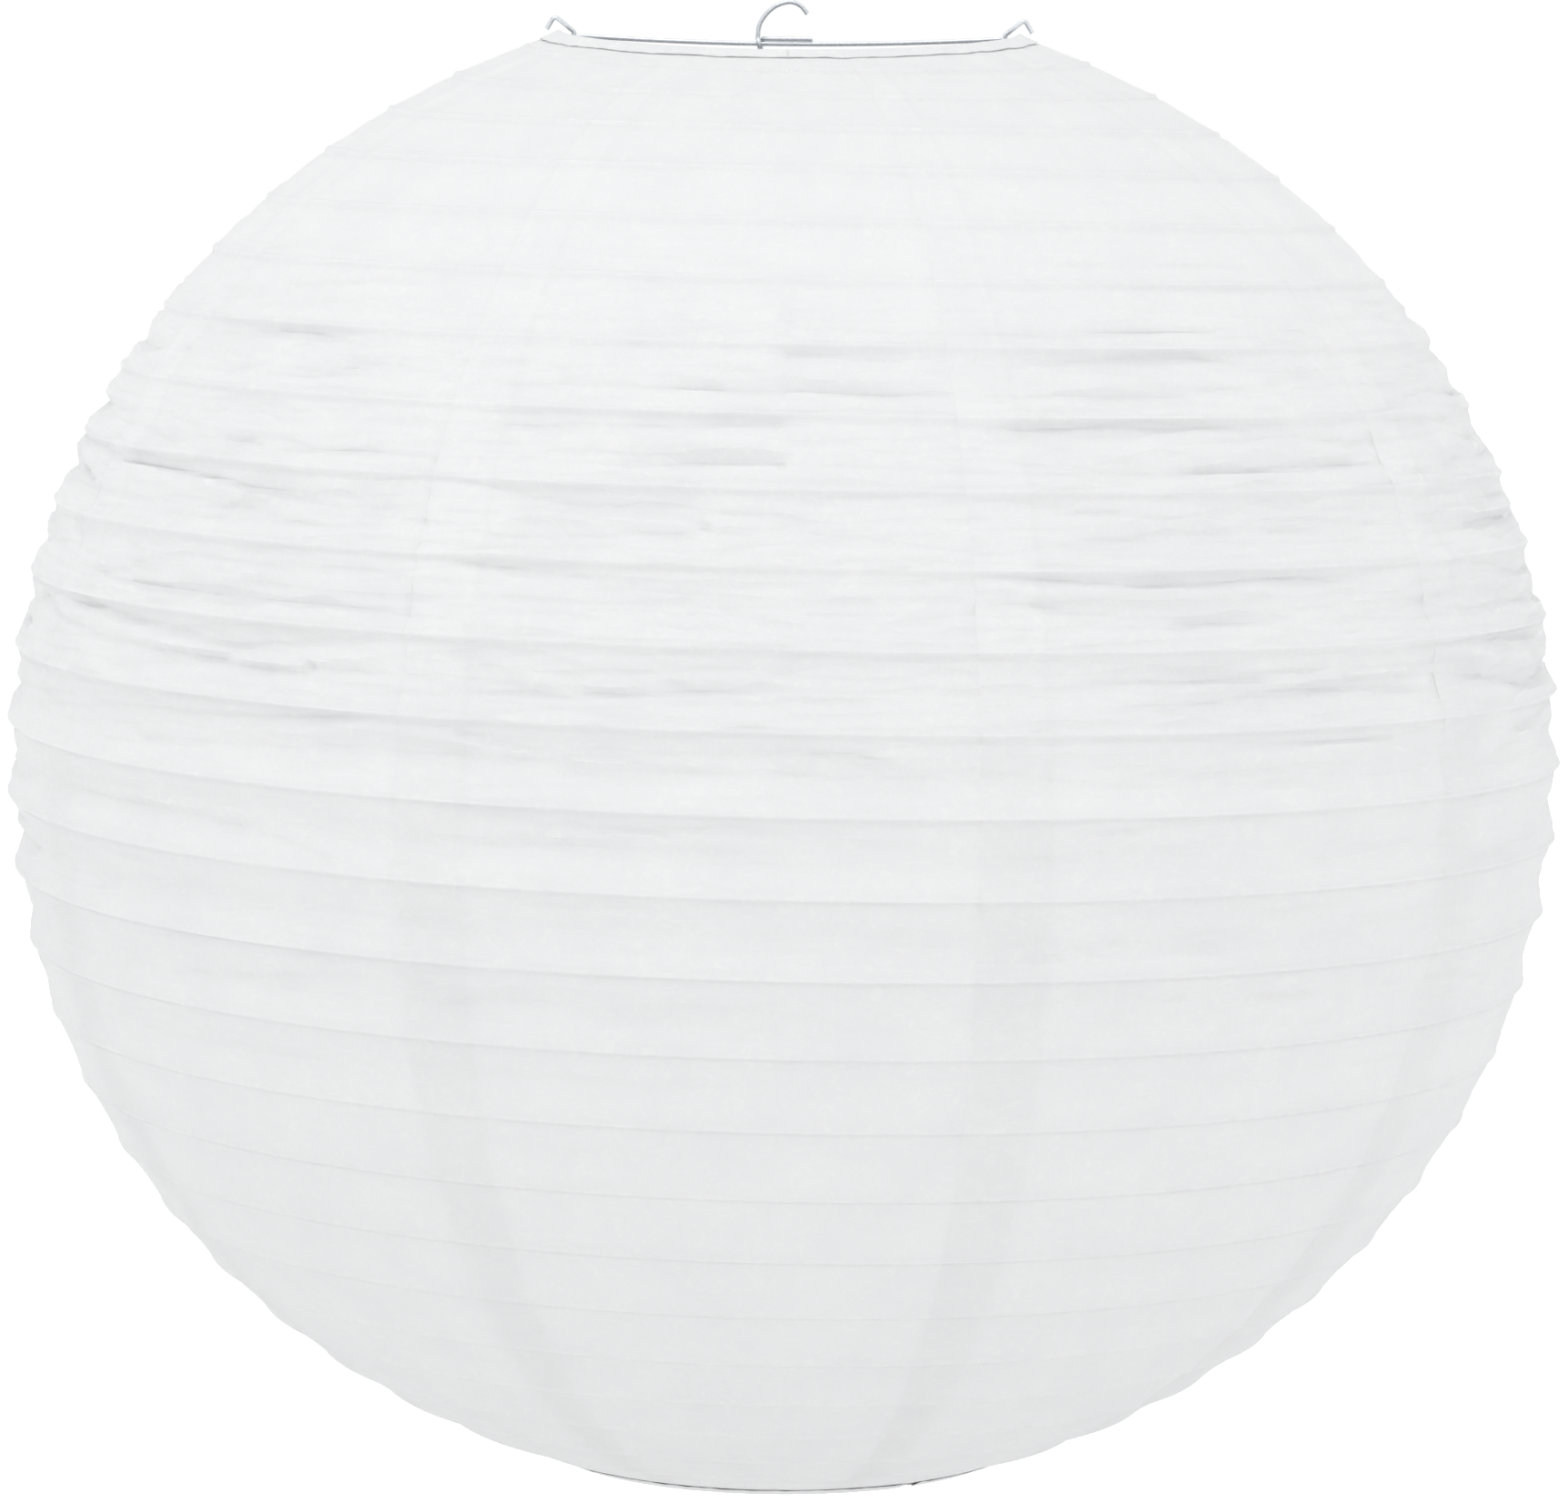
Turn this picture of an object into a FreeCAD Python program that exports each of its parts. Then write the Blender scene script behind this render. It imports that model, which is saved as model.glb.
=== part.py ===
import FreeCAD, Part
import math
import os

# Round accordion paper lantern: a paper shade of nine gores over one left-handed wire
# spiral, a wire ring in a folded hem at each opening, and a bent-wire stretcher frame.
# Millimetres, +Z up. The origin is the point under the hook's bend where it bears.
# Azimuth is 0 at the front (-Y) and grows towards +X.

# Shade
SHADE_DIAMETER = 610.0        # over the paper at the equator
UPPER_HEIGHT_RATIO = 0.9661   # upper semi-axis over the shade radius
LOWER_HEIGHT_RATIO = 0.9583   # lower semi-axis over the shade radius
UPPER_POWERS = (1.98, 1.94)   # how round the upper half is
LOWER_POWERS = (2.06, 2.00)   # how round the lower half is
RIM_RADIUS_RATIO = 0.2967     # centre line of a rim wire over the shade radius
PAPER = 0.3                   # paper thickness as modelled
GLUE_GAP = 0.1                # between the two papers of a lap
GORE_COUNT = 9
FIRST_SEAM_AZ = 13.2          # degrees
LAP_ANGLE = 5.0               # degrees of each gore that lie under the next one
SEAM_GAP_ANGLE = 0.25         # degrees between the edges of neighbouring gores

# Wires
RIB_WIRE = 1.0                # diameter of the spiral wire
RIM_WIRE = 2.0                # diameter of the ring in each opening
FRAME_WIRE = 1.8              # diameter of the stretcher frame's wire
TURN_COUNT = 26               # turns of the spiral from rim to rim
SPIRAL_START_AZ = 102.0       # degrees
TURN_END_GAP = 1.6            # along the wire, between one turn and the next
BIARC_ANGLE = 36.0            # degrees of the spiral in each pair of its wire's arcs
RUNNING_GAP = 0.3             # between faces that move past each other
RIB_GAP = 0.3                 # spiral wire to the double paper of a lap

# Hems
HEM_LEG = 7.0                 # width of the folded strip, from the ring's centre
HEM_WINDOW_AZ = 33.5          # degrees, where the lower hem leaves its ring bare
HEM_WINDOW = 6.5              # length of that bare stretch

# Stretcher frame
HOOK_RISE = 16.2              # hook's bend above the crossbar, centre lines
HOOK_SIDE = 12.7              # hook's root from the axis
TAIL_LENGTH = 9.0             # hook's tail, past the axis, along the crossbar
BAR_BOW = 2.5                 # sag of the crossbar at its middle
BAR_DROP = 0.5                # crossbar's ends below the upper ring
LEG_INSET = 6.0               # leg's centre line inside the upper ring's centre line
LEG_BEND = 1.5                # bend radius of the frame wire
EAR_HEIGHT = 8.4              # top of an ear above the ring
EAR_REACH = 5.5               # ear's outer foot outside the ring
EAR_FOOT_RISE = 2.6           # ear's outer foot above the ring
SHOULDER_DROP = 4.6           # shoulder under the ring
SHOULDER_REACH = 2.5          # shoulder outside the ring
NOTCH_RISE = 3.0              # lower kink above the lower ring
TOE_DROP = 6.0                # leg's end under the lower ring

R = SHADE_DIAMETER / 2.0
RIM_RADIUS = R * RIM_RADIUS_RATIO
SAMPLES = 900
LAP_DEPTH = PAPER + GLUE_GAP  # a lap's outer face under the paper's


def half_height(radius, ratio, powers):
    """Height over the equator at which the shade has this radius."""
    rise = 1.0 - (radius / R) ** powers[1]
    return R * ratio * rise ** (1.0 / powers[0])


UPPER_RISE = half_height(RIM_RADIUS, UPPER_HEIGHT_RATIO, UPPER_POWERS)
LOWER_DROP = half_height(RIM_RADIUS, LOWER_HEIGHT_RATIO, LOWER_POWERS)
BAR_MIDDLE_Z = FRAME_WIRE / 2.0 - HOOK_RISE
BAR_END_Z = BAR_MIDDLE_Z + BAR_BOW
TOP_RING_Z = BAR_END_Z + BAR_DROP
EQUATOR_Z = TOP_RING_Z - UPPER_RISE
BOTTOM_RING_Z = EQUATOR_Z - LOWER_DROP


def shade_radius(height):
    """Outer radius of the paper at a height over the equator."""
    ratio = UPPER_HEIGHT_RATIO
    powers = UPPER_POWERS
    if height < 0.0:
        ratio = LOWER_HEIGHT_RATIO
        powers = LOWER_POWERS
    part = 1.0 - (abs(height) / (R * ratio)) ** powers[0]
    return R * part ** (1.0 / powers[1])


def profile_samples():
    """Arc length, radius and height down the shade, from ring to ring."""
    top = math.asin(min(1.0, UPPER_RISE / (R * UPPER_HEIGHT_RATIO)))
    low = math.asin(min(1.0, LOWER_DROP / (R * LOWER_HEIGHT_RATIO)))
    rows = []
    arc = 0.0
    for i in range(SAMPLES + 1):
        angle = top - (top + low) * i / SAMPLES
        ratio = UPPER_HEIGHT_RATIO if angle > 0.0 else LOWER_HEIGHT_RATIO
        height = R * ratio * math.sin(angle)
        radius = shade_radius(height)
        if rows:
            arc += math.hypot(radius - rows[-1][1], height - rows[-1][2])
        rows.append((arc, radius, height))
    return rows


PROFILE = profile_samples()
PROFILE_LENGTH = PROFILE[-1][0]
PITCH = PROFILE_LENGTH / TURN_COUNT


def profile_at(arc):
    """Radius, Z and outward normal of the paper at a distance from the upper ring."""
    low = 0
    high = SAMPLES
    while high - low > 1:
        middle = (low + high) // 2
        if PROFILE[middle][0] <= arc:
            low = middle
        else:
            high = middle
    a = PROFILE[low]
    b = PROFILE[high]
    share = (arc - a[0]) / (b[0] - a[0])
    radius = a[1] + (b[1] - a[1]) * share
    height = a[2] + (b[2] - a[2]) * share
    before = PROFILE[max(0, low - 6)]
    after = PROFILE[min(SAMPLES, high + 6)]
    run = math.hypot(after[1] - before[1], after[2] - before[2])
    along = ((after[1] - before[1]) / run, (after[2] - before[2]) / run)
    normal = (-along[1], along[0])
    return radius, EQUATOR_Z + height, normal, along


def shifted_point(arc, offset):
    """Point (x, 0, z) of the profile, moved along its normal."""
    radius, z, normal, along = profile_at(arc)
    return FreeCAD.Vector(radius + normal[0] * offset, 0.0, z + normal[1] * offset)


def on_azimuth(radius, z, azimuth):
    """Point at a radius and an azimuth in degrees."""
    turn = math.radians(azimuth)
    return FreeCAD.Vector(radius * math.sin(turn), -radius * math.cos(turn), z)


def spline(points):
    """Smooth edge through points."""
    curve = Part.BSplineCurve()
    curve.interpolate(points)
    return curve.toShape()


def tube(path, start, direction, diameter):
    """Round wire along a path."""
    circle = Part.Circle(start, direction, diameter / 2.0).toShape()
    return Part.Wire(path).makePipeShell([Part.Wire([circle])], True, True)


def bent_path(points, bend):
    """Edges of a wire bent at each inner point."""
    edges = []
    last = points[0]
    for i in range(1, len(points) - 1):
        corner = points[i]
        back = (points[i - 1] - corner).normalize()
        ahead = (points[i + 1] - corner).normalize()
        opening = back.getAngle(ahead)
        reach = bend / math.tan(opening / 2.0)
        inward = (back + ahead).normalize()
        centre_line = bend / math.sin(opening / 2.0) - bend
        first = corner + back * reach
        second = corner + ahead * reach
        edges.append(Part.makeLine(last, first))
        edges.append(Part.Arc(first, corner + inward * centre_line, second).toShape())
        last = second
    edges.append(Part.makeLine(last, points[-1]))
    return edges


def bent_wire(points, bend, diameter):
    """Round wire through points, with bends of one radius."""
    edges = bent_path(points, bend)
    return tube(edges, points[0], points[1] - points[0], diameter)


def ring(radius, diameter, z):
    """Closed round wire ring about the shade's axis."""
    centre = FreeCAD.Vector(0, 0, z)
    return Part.makeTorus(radius, diameter / 2.0, centre, FreeCAD.Vector(0, 0, 1))


def paper_layer(first_arc, last_arc, low, high, start_az, sweep):
    """Sector of the shade between two offsets from the profile."""
    steps = 30
    outer = []
    inner = []
    for i in range(steps + 1):
        arc = first_arc + (last_arc - first_arc) * i / steps
        outer.append(shifted_point(arc, high))
        inner.append(shifted_point(arc, low))
    inner.reverse()
    edges = [
        spline(outer),
        Part.makeLine(outer[-1], inner[0]),
        spline(inner),
        Part.makeLine(inner[-1], outer[0]),
    ]
    face = Part.Face(Part.Wire(edges))
    axis = FreeCAD.Vector(0, 0, 1)
    origin = FreeCAD.Vector(0, 0, 0)
    sector = face.revolve(origin, axis, sweep)
    sector.rotate(origin, axis, start_az - 90.0)
    return sector


def gore():
    """One paper gore, seam at azimuth 0, with its lap stepped under the next gore's edge."""
    first = RIM_WIRE / 2.0 + 1.0
    last = PROFILE_LENGTH - first
    span = 360.0 / GORE_COUNT
    step_start = span - 2.0 * SEAM_GAP_ANGLE
    body_end = span - SEAM_GAP_ANGLE
    lap_low = -LAP_DEPTH - PAPER
    base = paper_layer(first, last, -PAPER, 0.0, 0.0, body_end)
    lap = paper_layer(first, last, lap_low, -LAP_DEPTH, step_start, span + LAP_ANGLE - step_start)
    step = paper_layer(first, last, lap_low + PAPER / 2.0, -PAPER / 2.0, step_start, SEAM_GAP_ANGLE)
    return base.fuse([step, lap]).removeSplitter()


def hem(arc, outward, gap_az, gap_length):
    """Strip of paper folded round a rim wire, with an optional bare stretch."""
    radius, z, normal, along = profile_at(arc)
    centre = FreeCAD.Vector(radius, 0.0, z)
    up = FreeCAD.Vector(normal[0], 0.0, normal[1])
    out = FreeCAD.Vector(along[0], 0.0, along[1]) * outward
    inside = RIM_WIRE / 2.0 + RUNNING_GAP
    outside = inside + PAPER
    leg = out * HEM_LEG
    edges = [
        Part.makeLine(centre + leg + up * outside, centre + up * outside),
        Part.Arc(centre + up * outside, centre - out * outside, centre - up * outside).toShape(),
        Part.makeLine(centre - up * outside, centre + leg - up * outside),
        Part.makeLine(centre + leg - up * outside, centre + leg - up * inside),
        Part.makeLine(centre + leg - up * inside, centre - up * inside),
        Part.Arc(centre - up * inside, centre - out * inside, centre + up * inside).toShape(),
        Part.makeLine(centre + up * inside, centre + leg + up * inside),
        Part.makeLine(centre + leg + up * inside, centre + leg + up * outside),
    ]
    face = Part.Face(Part.Wire(edges))
    origin = FreeCAD.Vector(0, 0, 0)
    axis = FreeCAD.Vector(0, 0, 1)
    gap_angle = math.degrees(gap_length / radius)
    shape = face.revolve(origin, axis, 360.0 - gap_angle)
    shape.rotate(origin, axis, gap_az + gap_angle / 2.0 - 90.0)
    return shape


def arc_under(start, corner, end):
    """Arc between two points whose end tangents meet at a corner."""
    middle = (start + end) * 0.5
    cosine = (end - start).Length / 2.0 / (corner - start).Length
    on_arc = middle + (corner - middle) * (cosine / (1.0 + cosine))
    return Part.Arc(start, on_arc, end).toShape()


def biarc(start, start_way, end, end_way):
    """Two arcs, tangent to each other and to the way at each end."""
    span = end - start
    square = 2.0 * (start_way.dot(end_way) - 1.0)
    half = span.dot(start_way + end_way)
    reach = (half - math.sqrt(half * half - square * span.dot(span))) / square
    first = start + start_way * reach
    second = end - end_way * reach
    joint = (first + second) * 0.5
    return [arc_under(start, first, joint), arc_under(joint, second, end)]


def spiral_point(turn, offset):
    """Point of the spiral at a number of degrees from its start."""
    place = shifted_point(PITCH * turn / 360.0, offset)
    return on_azimuth(place.x, place.z, SPIRAL_START_AZ + turn)


def rib_turn(index):
    """One turn of the spiral wire under the paper."""
    clear_arc = HEM_LEG + 4.0
    start_arc = max(clear_arc, PITCH * index)
    end_arc = min(PROFILE_LENGTH - clear_arc, PITCH * (index + 1))
    offset = -(LAP_DEPTH + PAPER + RIB_GAP + RIB_WIRE / 2.0)
    start_radius = shifted_point(start_arc, offset).x
    end_radius = shifted_point(end_arc, offset).x
    trim = TURN_END_GAP / 2.0
    start_turn = start_arc / PITCH * 360.0 + math.degrees(trim / start_radius)
    end_turn = end_arc / PITCH * 360.0 - math.degrees(trim / end_radius)
    pairs = math.ceil((end_turn - start_turn) / BIARC_ANGLE)
    points = []
    ways = []
    for i in range(pairs + 1):
        turn = start_turn + (end_turn - start_turn) * i / pairs
        points.append(spiral_point(turn, offset))
        ways.append((spiral_point(turn + 3.0, offset) - spiral_point(turn - 3.0, offset)).normalize())
    edges = []
    for i in range(pairs):
        edges += biarc(points[i], ways[i], points[i + 1], ways[i + 1])
    return tube(edges, points[0], ways[0], RIB_WIRE)


def crossbar():
    """Bowed bar with an eye round each leg."""
    eye_radius = FRAME_WIRE + RUNNING_GAP
    reach = RIM_RADIUS - LEG_INSET
    end = reach - eye_radius
    left = FreeCAD.Vector(-end, 0, BAR_END_Z)
    middle = FreeCAD.Vector(0, 0, BAR_MIDDLE_Z)
    right = FreeCAD.Vector(end, 0, BAR_END_Z)
    arc = Part.Arc(left, middle, right).toShape()
    bar = tube([arc], left, arc.tangentAt(arc.FirstParameter), FRAME_WIRE)
    eyes = []
    for side in (-1.0, 1.0):
        centre = FreeCAD.Vector(side * reach, 0, BAR_END_Z)
        eyes.append(Part.makeTorus(eye_radius, FRAME_WIRE / 2.0, centre, FreeCAD.Vector(0, 0, 1)))
    return bar.fuse(eyes)


def bar_height(x):
    """Height of the crossbar's centre line."""
    end = RIM_RADIUS - LEG_INSET - FRAME_WIRE - RUNNING_GAP
    return BAR_MIDDLE_Z + BAR_BOW * (x / end) ** 2


def hanging_hook():
    """Open hook, coiled once round the crossbar, with a tail along it."""
    wrap_radius = FRAME_WIRE + 0.15
    root_z = bar_height(HOOK_SIDE)
    root = FreeCAD.Vector(-HOOK_SIDE, 0, root_z)
    wrap = Part.makeTorus(wrap_radius, FRAME_WIRE / 2.0, root, FreeCAD.Vector(1, 0, 0))
    tail_z = root_z + wrap_radius
    tail_start = FreeCAD.Vector(-HOOK_SIDE, 0, tail_z)
    tail = Part.makeCylinder(FRAME_WIRE / 2.0, HOOK_SIDE + TAIL_LENGTH, tail_start, FreeCAD.Vector(1, 0, 0))
    top = BAR_MIDDLE_Z + HOOK_RISE
    bend = [
        FreeCAD.Vector(-HOOK_SIDE, 0, tail_z),
        FreeCAD.Vector(-0.9 * HOOK_SIDE, 0, top - 0.56 * HOOK_RISE),
        FreeCAD.Vector(-0.61 * HOOK_SIDE, 0, top - 0.22 * HOOK_RISE),
        FreeCAD.Vector(-0.25 * HOOK_SIDE, 0, top - 0.03 * HOOK_RISE),
        FreeCAD.Vector(0.05 * HOOK_SIDE, 0, top),
        FreeCAD.Vector(0.39 * HOOK_SIDE, 0, top - 0.11 * HOOK_RISE),
        FreeCAD.Vector(0.55 * HOOK_SIDE, 0, top - 0.28 * HOOK_RISE),
    ]
    edge = spline(bend)
    stem = tube([edge], bend[0], edge.tangentAt(edge.FirstParameter), FRAME_WIRE)
    return stem.fuse([wrap, tail])


def leg(side):
    """Leg of the stretcher: toe, kink, shoulder, eye line, ear and outer foot."""
    line = RIM_RADIUS - LEG_INSET
    hem_inside = RIM_RADIUS - RIM_WIRE / 2.0 - RUNNING_GAP - PAPER
    kink = hem_inside - 0.5 - FRAME_WIRE / 2.0
    spots = [
        (line - 1.2, BOTTOM_RING_Z - TOE_DROP),
        (line + 0.3, BOTTOM_RING_Z - 2.5),
        (kink, BOTTOM_RING_Z + NOTCH_RISE),
        (line, BOTTOM_RING_Z + NOTCH_RISE + 7.0),
        (line, TOP_RING_Z - SHOULDER_DROP - 9.0),
        (RIM_RADIUS + SHOULDER_REACH, TOP_RING_Z - SHOULDER_DROP),
        (line, BAR_END_Z - FRAME_WIRE - RUNNING_GAP),
        (line, TOP_RING_Z + 1.2),
        (RIM_RADIUS + 2.7, TOP_RING_Z + EAR_HEIGHT),
        (RIM_RADIUS + EAR_REACH, TOP_RING_Z + EAR_FOOT_RISE),
    ]
    points = [FreeCAD.Vector(side * x, 0, z) for x, z in spots]
    return bent_wire(points, LEG_BEND, FRAME_WIRE)


def save(shape, node):
    """Write one closed solid as a node."""
    solids = shape.Solids
    if len(solids) != 1:
        raise ValueError(node + " has " + str(len(solids)) + " solids")
    solid = solids[0]
    if solid.Volume < 0:
        solid.reverse()
    if not solid.isValid():
        print("not valid:", node)
    solid.exportStep("parts/" + node + ".step")
    print(node, round(solid.Volume, 1), [round(v, 1) for v in (solid.BoundBox.ZMin, solid.BoundBox.ZMax)])


os.makedirs("parts", exist_ok=True)

base_gore = gore()
for number in range(GORE_COUNT):
    panel = base_gore.copy()
    turn_by = FIRST_SEAM_AZ + number * 360.0 / GORE_COUNT
    panel.rotate(FreeCAD.Vector(0, 0, 0), FreeCAD.Vector(0, 0, 1), turn_by)
    save(panel, "gore_" + str(number + 1))

for number in range(TURN_COUNT):
    save(rib_turn(number), "rib_turn_" + str(number + 1).zfill(2))

save(ring(RIM_RADIUS, RIM_WIRE, TOP_RING_Z), "top_rim_wire")
save(ring(RIM_RADIUS, RIM_WIRE, BOTTOM_RING_Z), "bottom_rim_wire")
save(hem(0.0, 1.0, 180.0, 0.5), "top_hem")
save(hem(PROFILE_LENGTH, -1.0, HEM_WINDOW_AZ, HEM_WINDOW), "bottom_hem")
save(crossbar(), "crossbar")
save(hanging_hook(), "hanging_hook")
save(leg(-1.0), "left_leg")
save(leg(1.0), "right_leg")
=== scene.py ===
import math
import bmesh
import bpy
import numpy as np
from mathutils import Matrix, Vector


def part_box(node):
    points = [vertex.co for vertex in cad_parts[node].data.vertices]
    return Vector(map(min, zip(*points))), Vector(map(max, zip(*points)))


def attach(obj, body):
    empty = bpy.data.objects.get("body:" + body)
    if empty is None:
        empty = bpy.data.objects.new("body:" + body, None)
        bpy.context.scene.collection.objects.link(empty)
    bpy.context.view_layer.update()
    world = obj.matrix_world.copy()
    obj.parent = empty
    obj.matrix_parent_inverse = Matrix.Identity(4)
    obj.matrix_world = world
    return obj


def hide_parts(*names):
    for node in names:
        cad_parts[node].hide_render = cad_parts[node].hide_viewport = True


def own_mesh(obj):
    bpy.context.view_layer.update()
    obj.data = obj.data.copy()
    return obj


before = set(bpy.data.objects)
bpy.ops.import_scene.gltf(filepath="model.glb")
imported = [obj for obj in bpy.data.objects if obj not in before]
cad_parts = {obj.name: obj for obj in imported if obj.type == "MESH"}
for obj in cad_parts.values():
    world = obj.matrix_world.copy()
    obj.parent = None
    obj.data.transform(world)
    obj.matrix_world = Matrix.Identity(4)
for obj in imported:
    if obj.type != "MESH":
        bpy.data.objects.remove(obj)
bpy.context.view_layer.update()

turnNodes = sorted(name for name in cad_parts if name.startswith("rib_turn_"))
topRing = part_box("top_rim_wire")
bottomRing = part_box("bottom_rim_wire")
topRingZ = (topRing[0][2] + topRing[1][2]) / 2
bottomRingZ = (bottomRing[0][2] + bottomRing[1][2]) / 2

# the shade's own shape, as in the CAD model: metres and degrees
shade = {
    "radius": 0.305,
    "upperRatio": 0.9661, "lowerRatio": 0.9583,
    "upperPowers": (1.98, 1.94), "lowerPowers": (2.06, 2.0),
    "rimRatio": 0.2967,
    "gores": 9, "firstSeam": 13.2, "lap": 5.0,
    "turns": 26, "spiralStart": 102.0,
    "paper": 0.0003, "lapDrop": 0.0004, "rowsPerTurn": 24, "columns": 64,
    "keep": 1 - 0.5149 / (topRingZ - bottomRingZ),  # what the collapse joint's travel leaves
}
rimRadius = shade["radius"] * shade["rimRatio"]


def riseTo(ratio, powers):
    part = 1 - (rimRadius / shade["radius"]) ** powers[1]
    return shade["radius"] * ratio * part ** (1 / powers[0])


equatorZ = topRingZ - riseTo(shade["upperRatio"], shade["upperPowers"])


# camera
view = {
    "distance": 2.44, "elevation": 5.955, "roll": 0.5, "lens": 141.2, "sensor": 36,
    "shiftX": 0.0005, "shiftY": -0.0026,
}


def makeCamera():
    tilt = math.radians(view["elevation"])
    turn = math.radians(view["roll"])
    ahead = Vector((0, math.cos(tilt), -math.sin(tilt)))
    up = Vector((0, math.sin(tilt), math.cos(tilt)))
    right = Vector((1, 0, 0))
    upTurned = up * math.cos(turn) - right * math.sin(turn)
    rightTurned = right * math.cos(turn) + up * math.sin(turn)
    place = Vector((0, 0, equatorZ)) - ahead * view["distance"]
    lensData = bpy.data.cameras.new("frontView")
    lensData.sensor_width = view["sensor"]
    lensData.lens = view["lens"]
    lensData.shift_x = view["shiftX"]
    lensData.shift_y = view["shiftY"]
    lensData.clip_end = 100
    holder = bpy.data.objects.new("frontView", lensData)
    bpy.context.scene.collection.objects.link(holder)
    turned = Matrix((rightTurned, upTurned, -ahead)).transposed()
    holder.matrix_world = Matrix.Translation(place) @ turned.to_4x4()
    bpy.context.scene.camera = holder


makeCamera()
print("camera set")


# profile of the shade
def makeProfile(samples=900):
    # rows of arc length from the upper ring, radius and z
    ends = []
    for side in ("upper", "lower"):
        ratio = shade[side + "Ratio"]
        ends.append(math.asin(riseTo(ratio, shade[side + "Powers"]) / (shade["radius"] * ratio)))
    top, low = ends
    angle = np.linspace(top, -low, samples + 1)
    upper = angle > 0
    ratio = np.where(upper, shade["upperRatio"], shade["lowerRatio"])
    first = np.where(upper, shade["upperPowers"][0], shade["lowerPowers"][0])
    second = np.where(upper, shade["upperPowers"][1], shade["lowerPowers"][1])
    height = shade["radius"] * ratio * np.sin(angle)
    part = 1 - (np.abs(height) / (shade["radius"] * ratio)) ** first
    radius = shade["radius"] * part ** (1 / second)
    steps = np.hypot(np.diff(radius), np.diff(height))
    arc = np.concatenate([[0], np.cumsum(steps)])
    return arc, radius, equatorZ + height


profileArc, profileRadius, profileZ = makeProfile()
arcLength = profileArc[-1]
pitch = arcLength / shade["turns"]


def profileAt(arc):
    # radius, z and the outward normal's two parts at a distance down the shade
    radius = np.interp(arc, profileArc, profileRadius)
    z = np.interp(arc, profileArc, profileZ)
    back = np.clip(arc - 0.003, 0, arcLength)
    ahead = np.clip(arc + 0.003, 0, arcLength)
    dr = np.interp(ahead, profileArc, profileRadius) - np.interp(back, profileArc, profileRadius)
    dz = np.interp(ahead, profileArc, profileZ) - np.interp(back, profileArc, profileZ)
    size = np.hypot(dr, dz)
    return radius, z, -dz / size, dr / size


rimSag = {"depth": 0.0075, "reach": 0.12, "power": 1.3}  # the upper ring hangs between the two ears


def sagAt(arc, azimuth):
    fade = 1 - np.clip(arc / rimSag["reach"], 0, 1)
    along = np.abs(np.cos(np.radians(azimuth))) ** rimSag["power"]
    return -rimSag["depth"] * along * fade * fade * (3 - 2 * fade)


def pointsOn(arc, azimuth, lift):
    # points of the shade at distances down it and azimuths in degrees, lifted off along the normal
    radius, z, outR, outZ = profileAt(arc)
    turn = np.radians(azimuth)
    reach = radius + outR * lift
    height = z + outZ * lift + sagAt(arc, azimuth)
    return np.stack([reach * np.sin(turn), -reach * np.cos(turn), height], axis=-1)


# small helpers
def meshObject(name, points, faces, smooth=True):
    mesh = bpy.data.meshes.new(name)
    mesh.from_pydata([tuple(p) for p in points], [], faces)
    mesh.update()
    if smooth:
        mesh.shade_smooth()
    piece = bpy.data.objects.new(name, mesh)
    bpy.context.scene.collection.objects.link(piece)
    return piece


def pathObject(name, points, closed=False):
    curve = bpy.data.curves.new(name, "CURVE")
    curve.dimensions = "3D"
    spline = curve.splines.new("POLY")
    spline.points.add(len(points) - 1)
    flat = np.ones((len(points), 4))
    flat[:, :3] = np.array(points)
    spline.points.foreach_set("co", flat.ravel())
    spline.use_cyclic_u = closed
    holder = bpy.data.objects.new(name, curve)
    bpy.context.scene.collection.objects.link(holder)
    return holder


def bakeToMesh(piece, name):
    # turn what the modifiers make into a plain mesh and drop the modifiers
    bpy.context.view_layer.update()
    graph = bpy.context.evaluated_depsgraph_get()
    mesh = bpy.data.meshes.new_from_object(
        piece.evaluated_get(graph), preserve_all_data_layers=True, depsgraph=graph)
    mesh.name = name
    result = bpy.data.objects.new(name, mesh)
    bpy.context.scene.collection.objects.link(result)
    bpy.data.objects.remove(piece)
    return result


def dropPath(holder):
    curve = holder.data
    bpy.data.objects.remove(holder)
    bpy.data.curves.remove(curve)


class Tree:
    # a node tree with short ways to add nodes and links
    def __init__(self, name, kind, inputs=(), outputs=()):
        self.group = bpy.data.node_groups.new(name, kind)
        for label, socketType in inputs:
            self.group.interface.new_socket(label, in_out="INPUT", socket_type=socketType)
        for label, socketType in outputs:
            self.group.interface.new_socket(label, in_out="OUTPUT", socket_type=socketType)
        self.entry = self.group.nodes.new("NodeGroupInput")
        self.exit = self.group.nodes.new("NodeGroupOutput")

    def feed(self, socket, value):
        if isinstance(value, bpy.types.NodeSocket):
            self.group.links.new(value, socket)
        elif value is not None:
            socket.default_value = value

    def add(self, kind, settings=None, **sockets):
        node = self.group.nodes.new(kind)
        for key, value in (settings or {}).items():
            setattr(node, key, value)
        for key, value in sockets.items():
            self.feed(node.inputs[key.replace("_", " ")], value)
        return node

    def math(self, operation, a, b=None, c=None, clamp=False):
        node = self.group.nodes.new("ShaderNodeMath")
        node.operation = operation
        node.use_clamp = clamp
        for place, value in enumerate((a, b, c)):
            self.feed(node.inputs[place], value)
        return node.outputs[0]

    def ramp(self, value, low, high, toLow=0.0, toHigh=1.0):
        node = self.group.nodes.new("ShaderNodeMapRange")
        node.interpolation_type = "SMOOTHSTEP"
        for place, part in enumerate((value, low, high, toLow, toHigh)):
            self.feed(node.inputs[place], part)
        return node.outputs[0]


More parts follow.
